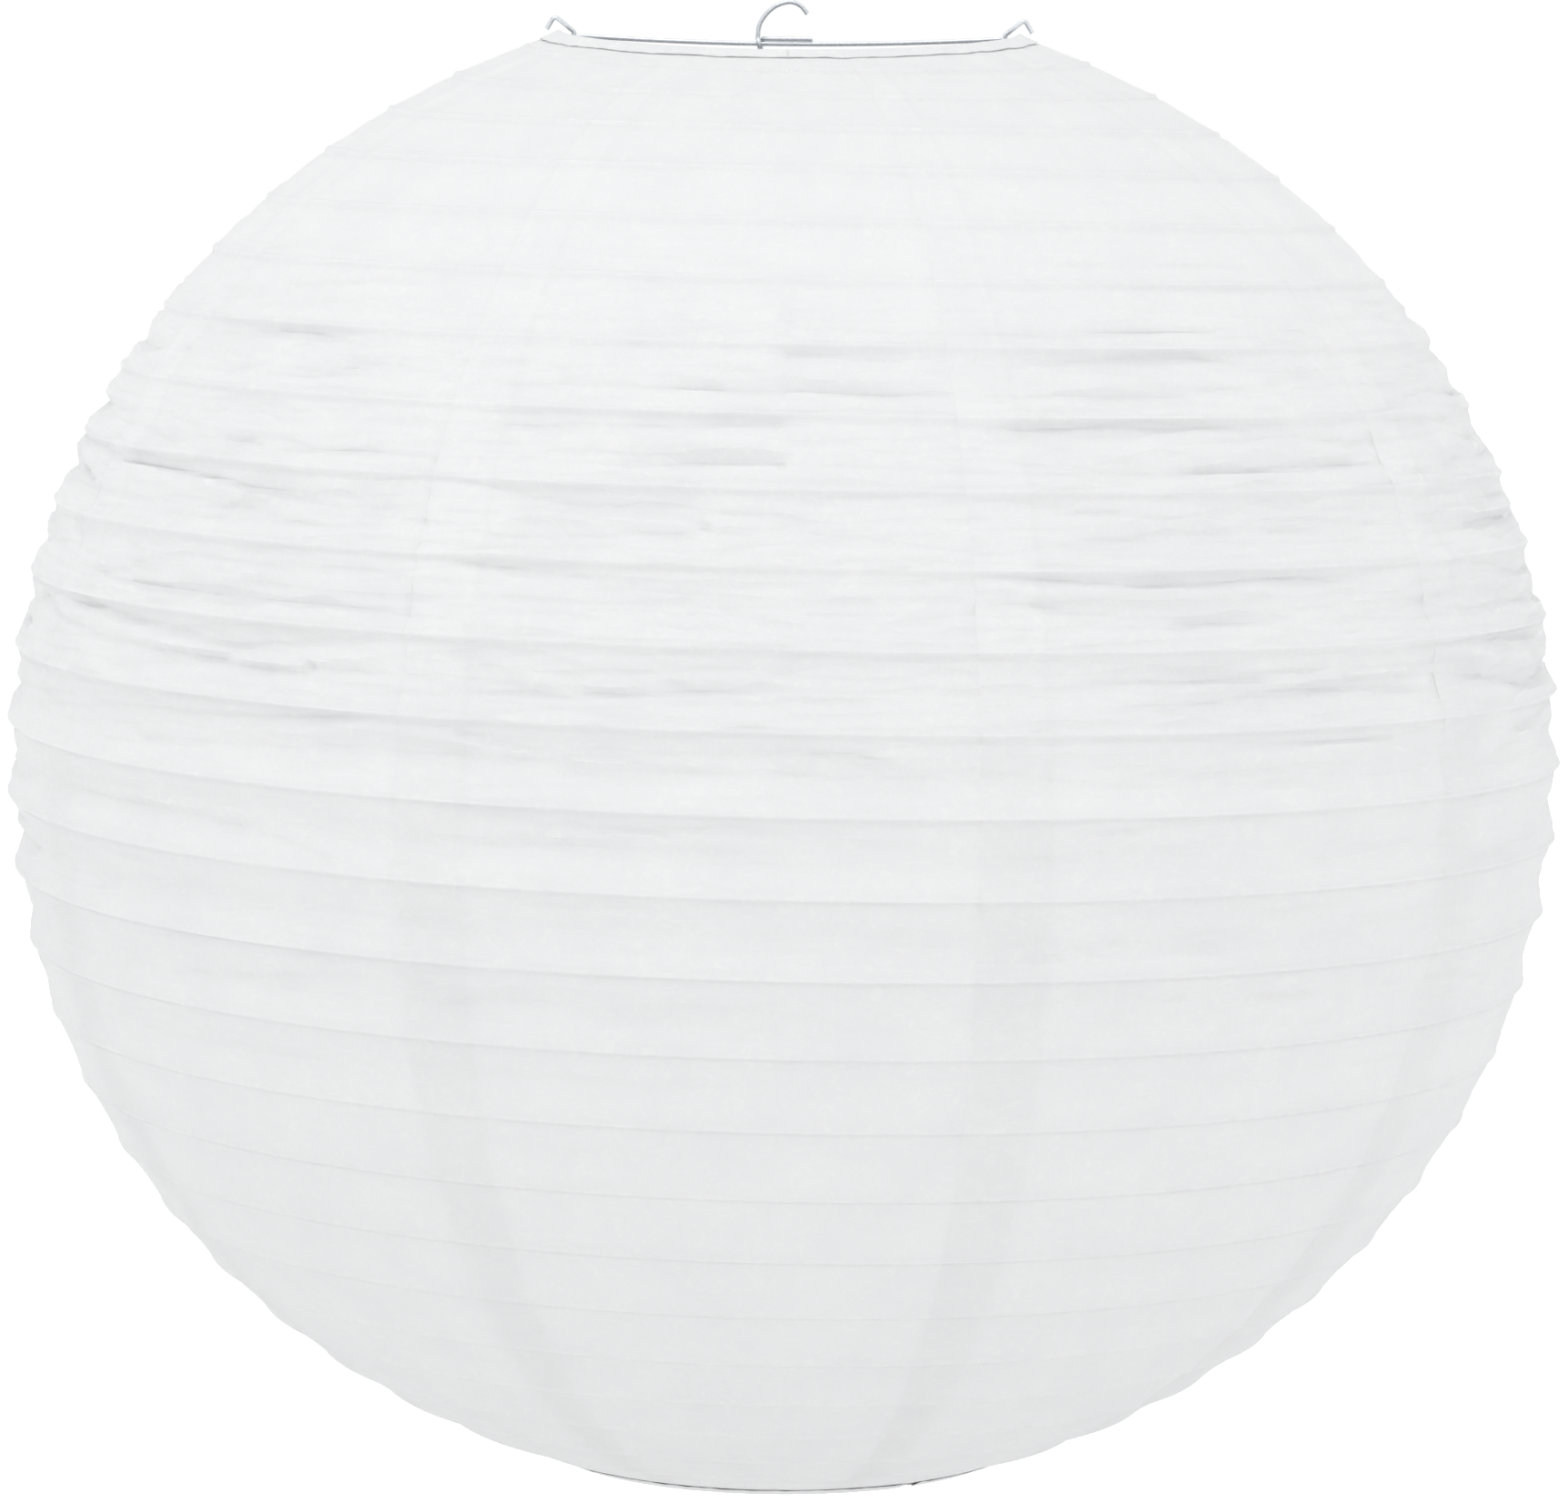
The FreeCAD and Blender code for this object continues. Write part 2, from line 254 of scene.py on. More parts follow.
def finishTree(tree, geometry):
    real = tree.add("GeometryNodeRealizeInstances", None, Geometry=geometry)
    paint = tree.add("GeometryNodeSetMaterial", None, Geometry=real.outputs[0])
    tree.feed(paint.inputs["Material"], tree.entry.outputs["Material"])
    tree.feed(tree.exit.inputs["Geometry"], paint.outputs[0])
    return tree.group


def setInput(modifier, label, value):
    for item in modifier.node_group.interface.items_tree:
        if item.item_type == "SOCKET" and item.in_out == "INPUT" and item.name == label:
            modifier[item.identifier] = value
            return
    raise ValueError("no input named " + label)


# shader groups
def paperGrainGroup():
    tree = Tree("paperGrain", "ShaderNodeTree",
                [("Fibre Size", "NodeSocketFloat"), ("Crinkle", "NodeSocketFloat"),
                 ("Slack", "NodeSocketFloat")],
                [("Height", "NodeSocketFloat"), ("Tint", "NodeSocketFloat"), ("Cloud", "NodeSocketFloat")])
    entry, exitNode = tree.entry, tree.exit
    coords = tree.add("ShaderNodeUVMap").outputs["UV"]

    def noise(scaleX, scaleY, detail, distortion=0.0, rough=0.5):
        stretch = tree.add("ShaderNodeMapping")
        tree.feed(stretch.inputs["Vector"], coords)
        stretch.inputs["Scale"].default_value = (scaleX, scaleY, 1)
        node = tree.add("ShaderNodeTexNoise", {"noise_dimensions": "2D"})
        tree.feed(node.inputs["Vector"], stretch.outputs["Vector"])
        node.inputs["Scale"].default_value = 1
        node.inputs["Detail"].default_value = detail
        node.inputs["Roughness"].default_value = rough
        node.inputs["Distortion"].default_value = distortion
        return node.outputs["Fac"]

    def ridge(value, sharp):
        # thin lines where the noise crosses its middle
        away = tree.math("ABSOLUTE", tree.math("SUBTRACT", value, 0.5))
        return tree.math("POWER", tree.math("SUBTRACT", 1.0, tree.math("MULTIPLY", away, 2.0)), sharp)

    pulp = noise(520, 480, 3, 0.0, 0.62)
    fibre = ridge(noise(110, 150, 1, 1.6), 22.0)
    cloud = noise(22, 34, 2)
    stretch = tree.add("ShaderNodeMapping")
    tree.feed(stretch.inputs["Vector"], coords)
    stretch.inputs["Scale"].default_value = (34, 210, 1)
    cells = tree.add("ShaderNodeTexVoronoi", {"voronoi_dimensions": "2D", "feature": "F1"})
    tree.feed(cells.inputs["Vector"], stretch.outputs["Vector"])
    cells.inputs["Scale"].default_value = 1
    crinkle = tree.math("POWER", cells.outputs["Distance"], 1.6)
    depth = tree.math("MULTIPLY", entry.outputs["Crinkle"], entry.outputs["Slack"])
    creases = tree.math("MULTIPLY", crinkle, depth)
    grain = tree.math("ADD", tree.math("MULTIPLY", pulp, 0.30), tree.math("MULTIPLY", fibre, 0.12))
    grain = tree.math("MULTIPLY", grain, entry.outputs["Fibre Size"])
    tree.feed(exitNode.inputs["Height"], tree.math("ADD", grain, creases))
    tree.feed(exitNode.inputs["Tint"], fibre)
    tree.feed(exitNode.inputs["Cloud"], cloud)
    return tree.group


def wireGrainGroup():
    tree = Tree("wireGrain", "ShaderNodeTree",
                [("Scale", "NodeSocketFloat")],
                [("Mottle", "NodeSocketFloat"), ("Streak", "NodeSocketFloat"), ("Height", "NodeSocketFloat")])
    coords = tree.add("ShaderNodeTexCoord").outputs["Object"]
    spangle = tree.add("ShaderNodeTexVoronoi", {"feature": "F1"}, Vector=coords, Scale=900.0)
    cloud = tree.add("ShaderNodeTexNoise", Vector=coords, Scale=260.0, Detail=4.0)
    fine = tree.add("ShaderNodeTexNoise", Vector=coords, Scale=2600.0, Detail=3.0)
    mottle = tree.math("MULTIPLY", tree.math("ADD", spangle.outputs["Distance"], cloud.outputs["Fac"]), 0.5)
    tree.feed(tree.exit.inputs["Mottle"], tree.math("MULTIPLY", mottle, tree.entry.outputs["Scale"]))
    tree.feed(tree.exit.inputs["Streak"], cloud.outputs["Fac"])
    tree.feed(tree.exit.inputs["Height"], fine.outputs["Fac"])
    return tree.group


paperGrain = paperGrainGroup()
wireGrain = wireGrainGroup()


def blendColours(nodes, links, share, first, second):
    node = nodes.new("ShaderNodeMix")
    node.data_type = "RGBA"
    links.new(share, node.inputs["Factor"])
    node.inputs[6].default_value = (*first, 1)
    node.inputs[7].default_value = (*second, 1)
    return node.outputs[2]


def paperMaterial(name, settings):
    material = bpy.data.materials.new(name)
    material.use_nodes = True
    nodes = material.node_tree.nodes
    links = material.node_tree.links
    nodes.clear()
    grain = nodes.new("ShaderNodeGroup")
    grain.node_tree = paperGrain
    grain.inputs["Fibre Size"].default_value = settings["fibre"]
    grain.inputs["Crinkle"].default_value = settings["crinkle"]
    slack = nodes.new("ShaderNodeAttribute")
    slack.attribute_name = "slack"
    links.new(slack.outputs["Fac"], grain.inputs["Slack"])
    bump = nodes.new("ShaderNodeBump")
    bump.inputs["Strength"].default_value = settings["bump"]
    bump.inputs["Distance"].default_value = settings["depth"]
    links.new(grain.outputs["Height"], bump.inputs["Height"])
    sheet = nodes.new("ShaderNodeBsdfPrincipled")
    sheet.inputs["Roughness"].default_value = 0.88
    sheet.inputs["Specular IOR Level"].default_value = 0.2
    sheet.inputs["Sheen Weight"].default_value = 0.06
    tint = grain.outputs["Tint"]
    fibreColour = blendColours(nodes, links, tint, settings["colour"], settings["fibreColour"])
    clouded = nodes.new("ShaderNodeMix")
    clouded.data_type = "RGBA"
    clouded.blend_type = "MULTIPLY"
    clouded.inputs["Factor"].default_value = settings["clouding"]
    links.new(fibreColour, clouded.inputs[6])
    cloudTone = nodes.new("ShaderNodeValToRGB")
    cloudTone.color_ramp.elements[0].position = 0.3
    cloudTone.color_ramp.elements[0].color = (0.86, 0.87, 0.88, 1)
    cloudTone.color_ramp.elements[1].position = 0.7
    cloudTone.color_ramp.elements[1].color = (1, 1, 1, 1)
    links.new(grain.outputs["Cloud"], cloudTone.inputs["Fac"])
    links.new(cloudTone.outputs["Color"], clouded.inputs[7])
    tone = nodes.new("ShaderNodeAttribute")  # painted light on the glued laps, strongest in the upper half
    tone.attribute_name = "tone"
    lapLightPainted = nodes.new("ShaderNodeMix")
    lapLightPainted.data_type = "RGBA"
    lapLightPainted.blend_type = "MULTIPLY"
    lapLightPainted.inputs["Factor"].default_value = 1.0
    links.new(clouded.outputs[2], lapLightPainted.inputs[6])
    links.new(tone.outputs["Color"], lapLightPainted.inputs[7])
    links.new(lapLightPainted.outputs[2], sheet.inputs["Base Color"])
    links.new(bump.outputs["Normal"], sheet.inputs["Normal"])
    glow = nodes.new("ShaderNodeBsdfTranslucent")
    links.new(lapLightPainted.outputs[2], glow.inputs["Color"])
    links.new(bump.outputs["Normal"], glow.inputs["Normal"])
    both = nodes.new("ShaderNodeMixShader")
    both.inputs["Fac"].default_value = settings["glow"]
    links.new(sheet.outputs["BSDF"], both.inputs[1])
    links.new(glow.outputs["BSDF"], both.inputs[2])
    out = nodes.new("ShaderNodeOutputMaterial")
    links.new(both.outputs["Shader"], out.inputs["Surface"])
    return material


def wireMaterial(name, settings):
    material = bpy.data.materials.new(name)
    material.use_nodes = True
    nodes = material.node_tree.nodes
    links = material.node_tree.links
    nodes.clear()
    grain = nodes.new("ShaderNodeGroup")
    grain.node_tree = wireGrain
    grain.inputs["Scale"].default_value = 1.0
    steel = nodes.new("ShaderNodeBsdfPrincipled")
    steel.inputs["Metallic"].default_value = settings["metallic"]
    colour = blendColours(nodes, links, grain.outputs["Mottle"], settings["dark"], settings["bright"])
    links.new(colour, steel.inputs["Base Color"])
    rough = nodes.new("ShaderNodeMapRange")
    rough.inputs["To Min"].default_value = settings["rough"][0]
    rough.inputs["To Max"].default_value = settings["rough"][1]
    links.new(grain.outputs["Streak"], rough.inputs["Value"])
    links.new(rough.outputs["Result"], steel.inputs["Roughness"])
    bump = nodes.new("ShaderNodeBump")
    bump.inputs["Strength"].default_value = 0.25
    bump.inputs["Distance"].default_value = 0.00005
    links.new(grain.outputs["Height"], bump.inputs["Height"])
    links.new(bump.outputs["Normal"], steel.inputs["Normal"])
    out = nodes.new("ShaderNodeOutputMaterial")
    links.new(steel.outputs["BSDF"], out.inputs["Surface"])
    return material


shadePaper = paperMaterial("shadePaper", {
    "colour": (0.902, 0.904, 0.908), "fibreColour": (0.925, 0.925, 0.925), "clouding": 0.1,
    "fibre": 0.35, "crinkle": 1.3, "bump": 0.75, "depth": 0.0011, "glow": 0.4,
})
hemPaper = paperMaterial("hemPaper", {
    "colour": (0.80, 0.805, 0.81), "fibreColour": (0.86, 0.86, 0.86), "clouding": 0.25,
    "fibre": 0.7, "crinkle": 0.6, "bump": 0.6, "depth": 0.0005, "glow": 0.18,
})
frameSteel = wireMaterial("frameSteel", {
    "dark": (0.50, 0.53, 0.56), "bright": (0.82, 0.85, 0.88), "metallic": 0.9, "rough": (0.28, 0.5),
})
ribSteel = wireMaterial("ribSteel", {
    "dark": (0.2, 0.2, 0.2), "bright": (0.5, 0.5, 0.5), "metallic": 0.9, "rough": (0.35, 0.55),
})
print("materials built")


# paper gores
gore = {
    "ribLift": 0.00060, "ribWidth": 0.0010, "underCut": 0.00045, "underWidth": 0.0014,
    "sagTop": 0.0004, "sagLow": 0.0007, "sagArc": (0.10, 0.45), "warp": 0.80,
    "fadeTop": (0.008, 0.02), "fadeLow": (0.006, 0.018), "firstArc": 0.002, "weld": 0.00002,
    "flatWidth": 0.2395, "flatShare": 0.74,
}
# degrees round the shade: the column just before a seam is moved to it, and the next one drops under the lap
seamStep = {"before": 0.7, "near": 0.1, "past": 0.01, "under": 0.06, "drop": 0.03}


def goreTree():
    tree = Tree("goreShell", "GeometryNodeTree",
                [("Geometry", "NodeSocketGeometry"), ("Meridian", "NodeSocketObject"),
                 ("Rows", "NodeSocketInt"), ("Columns", "NodeSocketInt"), *[
                     (label, "NodeSocketFloat") for label in (
                         "Seam Azimuth", "First Turn", "Turns", "Span", "Lap", "Lap Drop", "Step Shift",
                         "Pitch", "Spiral Start", "First Arc", "Last Arc", "Rib Lift", "Rib Width",
                         "Under Cut", "Under Width", "Sag Top", "Sag Low", "Warp")],
                 ("Material", "NodeSocketMaterial")],
                [("Geometry", "NodeSocketGeometry")])
    given = tree.entry.outputs
    m = tree.math
    grid = tree.add("GeometryNodeMeshGrid", None, Size_X=1.0, Size_Y=1.0)
    tree.feed(grid.inputs["Vertices X"], given["Columns"])
    tree.feed(grid.inputs["Vertices Y"], given["Rows"])
    place = tree.add("ShaderNodeSeparateXYZ", None, Vector=tree.add("GeometryNodeInputPosition").outputs[0])
    across = m("ADD", place.outputs["X"], 0.5)
    down = m("ADD", place.outputs["Y"], 0.5)
    evenSwing = m("MULTIPLY", across, m("ADD", given["Span"], given["Lap"]))
    pastSeam = m("SUBTRACT", evenSwing, given["Span"])

    def between(low, high):
        return m("MULTIPLY", m("GREATER_THAN", pastSeam, low), m("LESS_THAN", pastSeam, high))

    beforeStep = between(-seamStep["before"], -seamStep["near"])
    atStep = between(-seamStep["near"], seamStep["near"])
    swing = m("ADD", evenSwing, m("MULTIPLY", beforeStep, given["Step Shift"]))
    swing = m("ADD", swing, m("MULTIPLY", atStep, seamStep["under"]))
    azimuth = m("ADD", given["Seam Azimuth"], swing)
    evenTurn = m("ADD", given["First Turn"], m("MULTIPLY", down, given["Turns"]))
    wave = m("SINE", m("MULTIPLY", evenTurn, math.tau))
    turn = m("SUBTRACT", evenTurn, m("MULTIPLY", m("MULTIPLY", wave, given["Warp"]), 1 / math.tau))
    fromStart = m("DIVIDE", m("SUBTRACT", azimuth, given["Spiral Start"]), 360.0)
    freeArc = m("MULTIPLY", given["Pitch"], m("ADD", turn, fromStart))
    arc = m("MINIMUM", m("MAXIMUM", freeArc, given["First Arc"]), given["Last Arc"])
    share = m("FRACT", m("ADD", turn, 100.0))
    below = m("MULTIPLY", share, given["Pitch"])
    above = m("MULTIPLY", m("SUBTRACT", 1.0, share), given["Pitch"])

    def bell(distance, width):
        ratio = m("DIVIDE", distance, width)
        return m("EXPONENT", m("MULTIPLY", m("MULTIPLY", ratio, ratio), -1.0))

    ridge = m("ADD", bell(below, given["Rib Width"]), bell(above, given["Rib Width"]))
    ridge = m("MULTIPLY", ridge, given["Rib Lift"])
    dip = bell(m("SUBTRACT", below, m("MULTIPLY", given["Under Width"], 1.6)), given["Under Width"])
    dip = m("MULTIPLY", dip, given["Under Cut"])
    bow = m("MULTIPLY", m("MULTIPLY", share, m("SUBTRACT", 1.0, share)), 4.0)
    sag = m("MULTIPLY", bow, tree.ramp(arc, *gore["sagArc"], given["Sag Top"], given["Sag Low"]))
    toEnd = m("SUBTRACT", given["Last Arc"], arc)
    ends = m("MULTIPLY", tree.ramp(arc, *gore["fadeTop"]), tree.ramp(toEnd, *gore["fadeLow"]))
    lift = m("MULTIPLY", m("SUBTRACT", m("SUBTRACT", ridge, dip), sag), ends)
    lapped = m("GREATER_THAN", swing, m("ADD", given["Span"], seamStep["drop"]))
    lift = m("SUBTRACT", lift, m("MULTIPLY", lapped, given["Lap Drop"]))
    line = tree.add("GeometryNodeObjectInfo", {"transform_space": "ORIGINAL"})
    tree.feed(line.inputs["Object"], given["Meridian"])
    sample = tree.add("GeometryNodeSampleCurve", {"mode": "LENGTH"})
    tree.feed(sample.inputs["Curves"], line.outputs["Geometry"])
    tree.feed(sample.inputs["Length"], arc)
    slope = tree.add("ShaderNodeSeparateXYZ", None, Vector=sample.outputs["Tangent"])
    back = m("MULTIPLY", slope.outputs["Z"], -1.0)
    outward = tree.add("ShaderNodeCombineXYZ", None, X=back, Z=slope.outputs["X"])
    shift = tree.add("ShaderNodeVectorMath", {"operation": "SCALE"})
    tree.feed(shift.inputs[0], outward.outputs[0])
    tree.feed(shift.inputs["Scale"], lift)
    flat = tree.add("ShaderNodeVectorMath", {"operation": "ADD"})
    tree.feed(flat.inputs[0], sample.outputs["Position"])
    tree.feed(flat.inputs[1], shift.outputs[0])
    angle = m("RADIANS", m("SUBTRACT", azimuth, 90.0))

    def spun(vector):
        node = tree.add("ShaderNodeVectorRotate", {"rotation_type": "Z_AXIS"})
        tree.feed(node.inputs["Vector"], vector)
        tree.feed(node.inputs["Angle"], angle)
        return node.outputs[0]

    def keepValue(geometry, label, kind, domain, value):
        node = tree.add("GeometryNodeStoreNamedAttribute", {"data_type": kind, "domain": domain})
        tree.feed(node.inputs["Geometry"], geometry)
        node.inputs["Name"].default_value = label
        tree.feed(node.inputs["Value"], value)
        return node.outputs["Geometry"]

    around = m("MULTIPLY", azimuth, math.radians(shade["radius"]))
    laid = tree.add("ShaderNodeCombineXYZ", None, X=around, Y=arc)
    shape = keepValue(grid.outputs["Mesh"], "UVMap", "FLOAT2", "CORNER", laid.outputs[0])
    shape = keepValue(shape, "arc", "FLOAT", "POINT", arc)
    shape = keepValue(shape, "swing", "FLOAT", "POINT", swing)
    shape = keepValue(shape, "outward", "FLOAT_VECTOR", "POINT", spun(outward.outputs[0]))
    put = tree.add("GeometryNodeSetPosition")
    tree.feed(put.inputs["Geometry"], shape)
    tree.feed(put.inputs["Position"], spun(flat.outputs[0]))
    joined = tree.add("GeometryNodeMergeByDistance")
    tree.feed(joined.inputs["Geometry"], put.outputs[0])
    joined.inputs["Distance"].default_value = gore["weld"]
    return finishTree(tree, joined.outputs[0])


noiseRows = 512


def softNoise(x, y, cellsRound, seed):
    # smooth random field from -1 to 1, x in cells and repeating round the shade
    table = np.random.default_rng(seed).uniform(-1, 1, (cellsRound, noiseRows))
    xi = np.floor(x).astype(int)
    yi = np.floor(y).astype(int)
    fx = x - xi
    fy = y - yi
    fx = fx * fx * (3 - 2 * fx)
    fy = fy * fy * (3 - 2 * fy)

    def corner(i, j):
        return table[(xi + i) % cellsRound, (yi + j) % noiseRows]

    low = corner(0, 0) * (1 - fx) + corner(1, 0) * fx
    high = corner(0, 1) * (1 - fx) + corner(1, 1) * fx
    return low * (1 - fy) + high * fy


def cellFolds(x, y, cellsRound, seed):
    # paper pressed into facets: height grows away from scattered points and breaks sharply between them
    rng = np.random.default_rng(seed)
    spots = rng.uniform(0, 1, (cellsRound, noiseRows, 2))
    depth = rng.uniform(0, 0.5, (cellsRound, noiseRows))
    xi = np.floor(x).astype(int)
    yi = np.floor(y).astype(int)
    best = np.full(x.shape, 9.0)
    for i in (-1, 0, 1):
        for j in (-1, 0, 1):
            place = spots[(xi + i) % cellsRound, (yi + j) % noiseRows]
            lower = depth[(xi + i) % cellsRound, (yi + j) % noiseRows]
            away = np.hypot(xi + i + place[..., 0] - x, yi + j + place[..., 1] - y)
            best = np.minimum(best, np.sqrt(away * away + 0.02) + lower * 0.6)
    return best


def smooth(value, low, high):
    share = np.clip((value - low) / (high - low), 0, 1)
    return share * share * (3 - 2 * share)


wrinkles = {
    "arc": [0.0, 0.10, 0.16, 0.20, 0.25, 0.33, 0.37, 0.45, 0.49, 0.76],  # slackness down the shade
    "slack": [0.05, 0.08, 0.30, 0.80, 1.0, 1.0, 0.50, 0.36, 0.10, 0.06],
    "foldArc": [0.0, 0.19, 0.30, 0.34, 0.38, 0.44, 0.48, 0.76],  # fold along the middle of each band
    "fold": [0.0, 0.0, 0.0012, 0.0026, 0.0030, 0.0024, 0.0004, 0.0001],
    "crease": 0.0026, "large": 0.0022, "small": 0.0016, "broad": 0.0007, "pinch": 0.0012,
}


def bandCreases(goreIndex, band, x, y, slack):
    # folded paper of one band of one gore: straight facets between crease lines, x and y from 0 to 1
    rng = np.random.default_rng(7000 + goreIndex * 97 + band * 13)
    count = 4
    lines = []
    heights = []
    for j in range(count):
        centre = (j + 1) / (count + 1) + rng.uniform(-0.08, 0.08)
        left = np.clip(centre + rng.normal(0, 0.25), 0.02, 0.98)
        right = np.clip(centre + rng.normal(0, 0.25), 0.02, 0.98)
        bend = rng.uniform(0.25, 0.75)
        peak = centre + rng.normal(0, 0.12)
        path = np.interp(x, [0.0, 0.06, bend, 0.97, 1.13], [left, left, peak, right, right])
        lines.append(np.clip(path, 0.03, 0.97))
        sign = -1.0 if j % 2 == 0 else 0.55
        size = sign * rng.uniform(0.35, 1.25) * wrinkles["crease"]
        start = rng.uniform(-0.3, 0.35)
        stop = rng.uniform(0.65, 1.3)
        reach = smooth(x, start, start + 0.25) * (1 - smooth(x, stop - 0.25, stop))
        heights.append(size * (0.15 + 0.85 * reach))
    lines = np.sort(np.array(lines), axis=0)
    lift = np.zeros_like(x)
    lastLine = np.zeros_like(x)
    lastHeight = np.zeros_like(x)
    for j in range(count + 1):
        nextLine = lines[j] if j < count else np.ones_like(x)
        nextHeight = heights[j] if j < count else np.zeros_like(x)
        inside = (y >= lastLine) & (y <= nextLine)
        share = (y - lastLine) / np.maximum(nextLine - lastLine, 1e-4)
        lift = np.where(inside, lastHeight + (nextHeight - lastHeight) * share, lift)
        lastLine = nextLine
        lastHeight = nextHeight
    seamGrip = smooth(x, 0.0, 0.16) * (1 - smooth(x, 0.88, 1.0))
    return lift * slack * (0.12 + 0.88 * seamGrip)


def wrinkleLift(goreIndex, arc, swing):
    # height of the paper's wrinkles over its regular shape
    span = 360 / shade["gores"]
    beyond = swing > span + seamStep["drop"]
    index = np.where(beyond, goreIndex + 1, goreIndex) % shade["gores"]
    x = np.where(beyond, swing - span, swing) / span
    azimuth = (shade["firstSeam"] + (goreIndex * span + swing)) % 360
    trueTurn = arc / pitch - ((azimuth - shade["spiralStart"]) / 360)
    band = np.floor(trueTurn + 1e-4).astype(int)
    y = np.clip(trueTurn - band, 0, 1)
    slack = np.interp(arc, wrinkles["arc"], wrinkles["slack"])
    lift = np.zeros_like(arc)
    for g in np.unique(index):
        for b in np.unique(band[index == g]):
            chosen = (index == g) & (band == b)
            lift[chosen] = bandCreases(int(g), int(b), x[chosen], y[chosen], slack[chosen])
    fold = np.interp(arc, wrinkles["foldArc"], wrinkles["fold"])
    wander = 0.52 + 0.07 * softNoise(azimuth / 12, band * 3.7, 30, 11)
    lift = lift - fold * np.where(y < wander, y / wander, (1 - y) / (1 - wander))
    tilt = azimuth / 12 + 0.35 * softNoise(azimuth / 20, arc / 0.05, 18, 31)
    large = (cellFolds(tilt, arc / 0.0105, 30, 23) - 0.65) * wrinkles["large"]
    small = (cellFolds(azimuth / 5, arc / 0.0062, 72, 24) - 0.65) * wrinkles["small"]
    broad = softNoise(azimuth / 10, arc / 0.016, 36, 21) * wrinkles["broad"]
    seamNear = np.exp(-(np.minimum(np.abs(x - 0.01), np.abs(x - 1.01)) / 0.05) ** 2)
    pinch = (cellFolds(azimuth / 1.2, arc / 0.007, 300, 25) - 0.6) * wrinkles["pinch"] * seamNear
    edge = np.minimum(y, 1 - y) * pitch
    held = smooth(edge, 0.0, 0.006)
    patch = 0.35 + 0.65 * smooth(softNoise(azimuth / 16, arc / 0.03, 24, 27), -0.5, 0.5)
    rims = smooth(arc, 0.006, 0.03) * (1 - smooth(arc, arcLength - 0.03, arcLength - 0.006))
    rest = (broad + (large + small) * patch + pinch) * slack * held
    return (lift + rest) * rims, slack


def makeGores():
    tree = goreTree()
    meridian = pathObject("meridian", np.stack([profileRadius, np.zeros_like(profileArc), profileZ], axis=1))
    span = 360 / shade["gores"]
    rowStep = 1 / shade["rowsPerTurn"]
    firstArc = gore["firstArc"]
    lastArc = arcLength - firstArc
    rows = int(math.ceil((shade["turns"] + (span + shade["lap"]) / 360) / rowStep)) + 3
    columns = round(shade["columns"] * (1 + shade["lap"] / span)) + 1
    pieces = []
    for index in range(shade["gores"]):
        seam = shade["firstSeam"] + index * span
        highest = firstArc / pitch - (seam + span + shade["lap"] - shade["spiralStart"]) / 360
        host = meshObject("goreHost", [(0, 0, 0)], [], smooth=False)
        modifier = host.modifiers.new("goreShell", "NODES")
        modifier.node_group = tree
        values = {
            "Meridian": meridian, "Seam Azimuth": seam, "First Turn": math.floor(highest / rowStep) * rowStep,
            "Turns": (rows - 1) * rowStep, "Rows": rows, "Columns": columns,
            "Span": span, "Lap": shade["lap"],
            "Lap Drop": shade["lapDrop"], "Step Shift": span / shade["columns"] + seamStep["past"],
            "Pitch": pitch, "Spiral Start": shade["spiralStart"],
            "First Arc": firstArc, "Last Arc": lastArc, "Rib Lift": gore["ribLift"],
            "Rib Width": gore["ribWidth"], "Under Cut": gore["underCut"], "Under Width": gore["underWidth"],
            "Sag Top": gore["sagTop"], "Sag Low": gore["sagLow"], "Warp": gore["warp"],
            "Material": shadePaper,
        }
        for label, value in values.items():
            setInput(modifier, label, value)
        piece = bakeToMesh(host, "paperGore" + str(index + 1))
        crumple(piece, index)
        thicken(piece)
        pieces.append(piece)
    dropPath(meridian)
    return pieces


def readFloats(mesh, label, size=1):
    values = np.zeros(len(mesh.vertices) * size, dtype=np.float32)
    mesh.attributes[label].data.foreach_get("vector" if size == 3 else "value", values)
    return values.astype(float).reshape(-1, size) if size > 1 else values.astype(float)


paintedLapLight = {  # painted light on the glued laps: brightened most in the upper half, where light from above falls
    "arc": [0.10, 0.19, 0.25, 0.32, 0.38, 0.50],
    "tone": [0.022, 0.022, 0.028, 0.024, 0.012, 0.006],
}


def keepShare(mesh, label, values):
    mark = mesh.attributes.new(label, "FLOAT", "POINT")
    mark.data.foreach_set("value", values.astype(np.float32))


def crumple(piece, index):
    mesh = piece.data
    arc = readFloats(mesh, "arc")
    swing = readFloats(mesh, "swing")
    outward = readFloats(mesh, "outward", 3)
    places = np.zeros(len(mesh.vertices) * 3, dtype=np.float32)
    mesh.vertices.foreach_get("co", places)
    lift, slack = wrinkleLift(index, arc, swing)
    moved = places.reshape(-1, 3) + outward * lift[:, None]
    span = 360 / shade["gores"]
    moved[:, 2] += sagAt(arc, shade["firstSeam"] + index * span + swing)
    mesh.vertices.foreach_set("co", moved.astype(np.float32).ravel())
    keepShare(mesh, "slack", slack)
    # painted light: the flange and the gore edge over it are brightened, more in the upper half
    under = smooth(swing, span + 0.02, span + 0.05)
    over = 1 - smooth(swing, shade["lap"] - 0.3, shade["lap"] + 0.02)
    keepShare(mesh, "tone", 1 + np.maximum(under, over) * np.interp(arc, paintedLapLight["arc"], paintedLapLight["tone"]))
    for label in ("arc", "swing", "outward"):
        mesh.attributes.remove(mesh.attributes[label])
    mesh.update()


